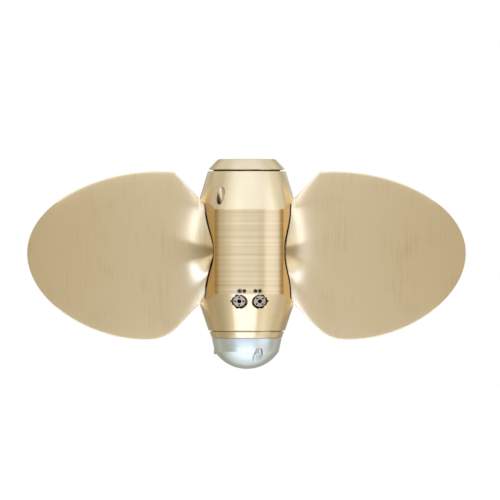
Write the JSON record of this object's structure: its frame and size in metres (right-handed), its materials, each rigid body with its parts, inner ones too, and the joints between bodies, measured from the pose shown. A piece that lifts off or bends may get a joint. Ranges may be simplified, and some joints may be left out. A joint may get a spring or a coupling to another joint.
{
  "type": "feathering propeller",
  "caption": "Feathering boat propeller: broad blades on geared spindles in a turned bronze hub, with pitch dials, a tapered shaft bore and a zinc anode.",
  "frame": {"origin": "on the shaft axis, in the plane of the hub's forward face", "axes": "+Z along the shaft towards the boat; +X along the right blade's spindle; -Y is the front with the pitch dials"},
  "size_m": [0.381, 0.0874, 0.182],
  "materials": {
    "bronze": "turned and polished nickel-aluminium bronze",
    "blade_bronze": "brushed nickel-aluminium bronze",
    "stainless_steel": "machined stainless steel",
    "zinc": "turned zinc",
    "seal_rubber": "greased nitrile rubber"
  },
  "bodies": {
    "shaft_group": {"shaft_boss": "bronze", "tab_washer": "stainless_steel", "shaft_nut": "stainless_steel", "forward_seal": "seal_rubber", "aft_seal": "seal_rubber", "aft_ring": "bronze", "anode": "zinc", "anode_screw_1": "stainless_steel", "anode_screw_2": "stainless_steel", "anode_screw_3": "stainless_steel"},
    "hub_barrel": {"hub_housing": "bronze", "dial_lock_screw_left": "stainless_steel", "dial_lock_screw_right": "stainless_steel", "dial_stop_pin_left": "bronze", "dial_stop_pin_right": "bronze", "front_plug": "bronze", "rear_plug": "bronze"},
    "left_dial": {"pitch_dial_left": "stainless_steel"},
    "right_dial": {"pitch_dial_right": "stainless_steel"},
    "left_blade": {"blade_left": "blade_bronze"},
    "right_blade": {"blade_right": "blade_bronze"}
  },
  "joints": [
    {"name": "housing_turn", "type": "hinge", "parent": "shaft_group", "child": "hub_barrel", "pos_m": [0, 0, -0.0799], "axis": [0, 0, 1], "range_deg": [-70, 70]},
    {"name": "blade_left_pitch", "type": "hinge", "parent": "hub_barrel", "child": "left_blade", "pos_m": [0, 0, -0.0799], "axis": [-1, 0, 0], "range_deg": [-70, 70]},
    {"name": "blade_right_pitch", "type": "hinge", "parent": "hub_barrel", "child": "right_blade", "pos_m": [0, 0, -0.0799], "axis": [1, 0, 0], "range_deg": [-70, 70]},
    {"name": "dial_left_turn", "type": "hinge", "parent": "hub_barrel", "child": "left_dial", "pos_m": [-0.009, -0.04059, -0.1234], "axis": [-0.0827, -0.9454, -0.3153], "range_deg": [-90, 90]},
    {"name": "dial_right_turn", "type": "hinge", "parent": "hub_barrel", "child": "right_dial", "pos_m": [0.009, -0.04059, -0.1234], "axis": [0.0827, -0.9454, -0.3153], "range_deg": [-90, 90]}
  ],
  "couplings": [
    {"joint": "blade_left_pitch", "follows": "housing_turn", "ratio": 1},
    {"joint": "blade_right_pitch", "follows": "housing_turn", "ratio": 1}
  ]
}
